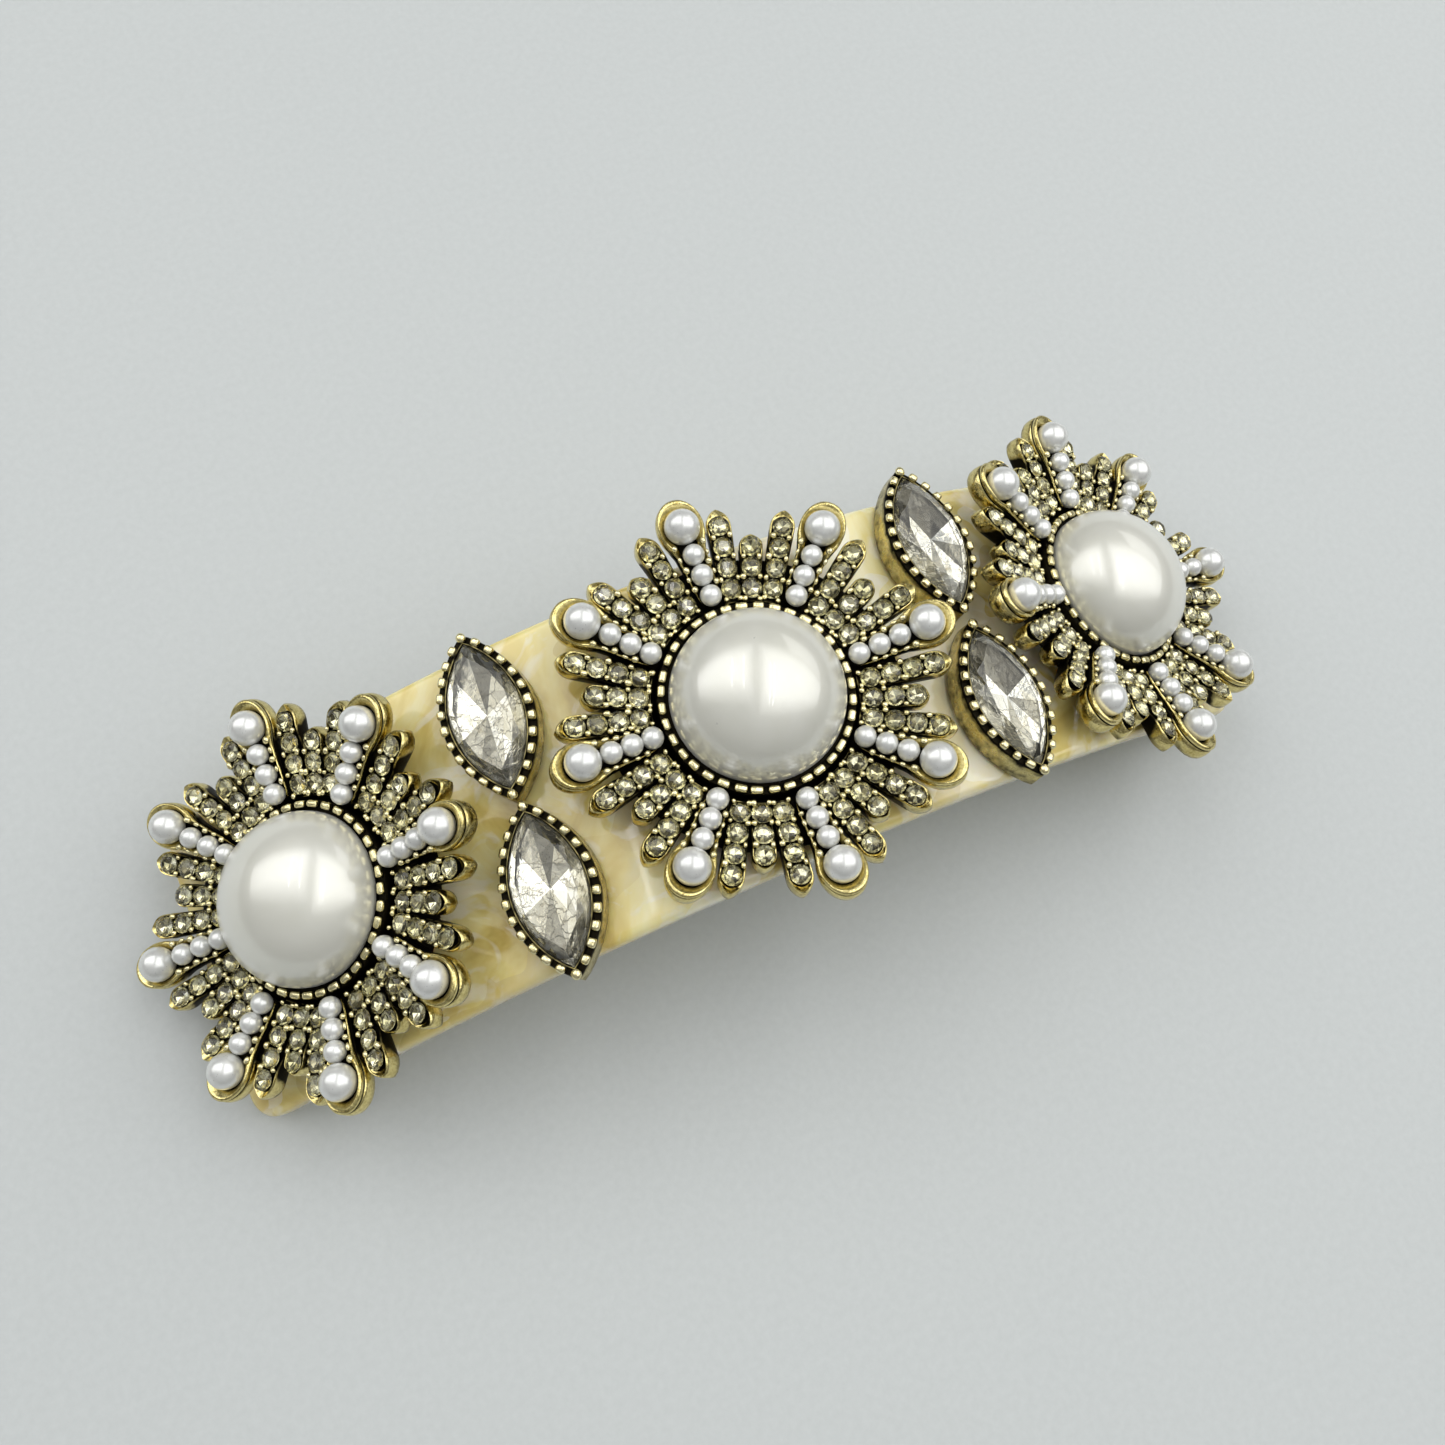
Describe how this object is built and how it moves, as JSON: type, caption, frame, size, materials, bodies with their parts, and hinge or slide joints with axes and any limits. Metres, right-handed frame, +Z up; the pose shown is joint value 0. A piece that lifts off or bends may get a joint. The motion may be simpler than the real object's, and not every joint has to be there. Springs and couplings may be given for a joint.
{
  "type": "barrette",
  "caption": "Arched hair barrette: ivory marbled plate with sunburst flowers of pearls and smoky stones, pointed-oval crystals, and a hinged spring clip underneath.",
  "frame": {"origin": "bottom centre of the whole object, on the surface it stands on, with the clip closed", "axes": "+X along the length towards the catch end, +Y across, +Z up through the crown of the arch"},
  "size_m": [0.1094, 0.0368, 0.0299],
  "materials": {
    "acetate": "polished ivory acetate with cream and mother-of-pearl marbling, slightly translucent",
    "antique_gold": "cast metal plated antique gold, worn bright on the high spots and black in the recesses",
    "pearl_dome": "pearlescent cabochon under a clear gloss coat",
    "small_pearl": "white imitation pearl lacquer, glossy",
    "smoky_stone": "faceted smoky olive glass with a foil back",
    "clear_crystal": "faceted clear glass with a foil back",
    "clip_metal": "plated stamped steel, fine brushing",
    "spring_steel": "bright spring steel"
  },
  "bodies": {
    "barrette_body": {"acetate_plate": "acetate", "flower_casting_left": "antique_gold", "flower_casting_center": "antique_gold", "flower_casting_right": "antique_gold", "pearl_dome_left": "pearl_dome", "pearl_dome_center": "pearl_dome", "pearl_dome_right": "pearl_dome", "pave_stones_left": "smoky_stone", "pave_stones_center": "smoky_stone", "pave_stones_right": "smoky_stone", "pearl_row_left_1": "small_pearl", "pearl_row_left_2": "small_pearl", "pearl_row_left_3": "small_pearl", "pearl_row_left_4": "small_pearl", "pearl_row_left_5": "small_pearl", "pearl_row_left_6": "small_pearl", "pearl_row_left_7": "small_pearl", "pearl_row_left_8": "small_pearl", "pearl_row_center_1": "small_pearl", "pearl_row_center_2": "small_pearl", "pearl_row_center_3": "small_pearl", "pearl_row_center_4": "small_pearl", "pearl_row_center_5": "small_pearl", "pearl_row_center_6": "small_pearl", "pearl_row_center_7": "small_pearl", "pearl_row_center_8": "small_pearl", "pearl_row_right_1": "small_pearl", "pearl_row_right_2": "small_pearl", "pearl_row_right_3": "small_pearl", "pearl_row_right_4": "small_pearl", "pearl_row_right_5": "small_pearl", "pearl_row_right_6": "small_pearl", "pearl_row_right_7": "small_pearl", "pearl_row_right_8": "small_pearl", "navette_setting_upper_left": "antique_gold", "navette_setting_lower_left": "antique_gold", "navette_setting_upper_right": "antique_gold", "navette_setting_lower_right": "antique_gold", "navette_crystal_upper_left": "clear_crystal", "navette_crystal_lower_left": "clear_crystal", "navette_crystal_upper_right": "clear_crystal", "navette_crystal_lower_right": "clear_crystal", "clip_base_strip": "clip_metal", "clip_rivet_left": "clip_metal", "clip_rivet_right": "clip_metal", "clip_hinge_pin": "clip_metal", "clip_tension_bow": "spring_steel", "clip_catch_bracket": "clip_metal"},
    "clasp_arm": {"clip_clasp_arm": "clip_metal"},
    "prong_front": {"clip_prong_front": "spring_steel"},
    "prong_back": {"clip_prong_back": "spring_steel"}
  },
  "joints": [
    {"name": "arm_hinge", "type": "hinge", "parent": "barrette_body", "child": "clasp_arm", "pos_m": [-0.03452, -0.00005, 0.00553], "axis": [0, 1, 0], "range_deg": [0, 80]},
    {"name": "prong_front_pinch", "type": "hinge", "parent": "barrette_body", "child": "prong_front", "pos_m": [0.0372, -0.00171, 0.00584], "axis": [1, 0, 0], "range_deg": [0, 8], "stiffness_Nm_per_rad": 0.00005},
    {"name": "prong_back_pinch", "type": "hinge", "parent": "barrette_body", "child": "prong_back", "pos_m": [0.0372, 0.00161, 0.00584], "axis": [-1, 0, 0], "range_deg": [0, 8], "stiffness_Nm_per_rad": 0.00005}
  ],
  "couplings": [
    {"joint": "prong_back_pinch", "follows": "prong_front_pinch", "ratio": 1}
  ]
}
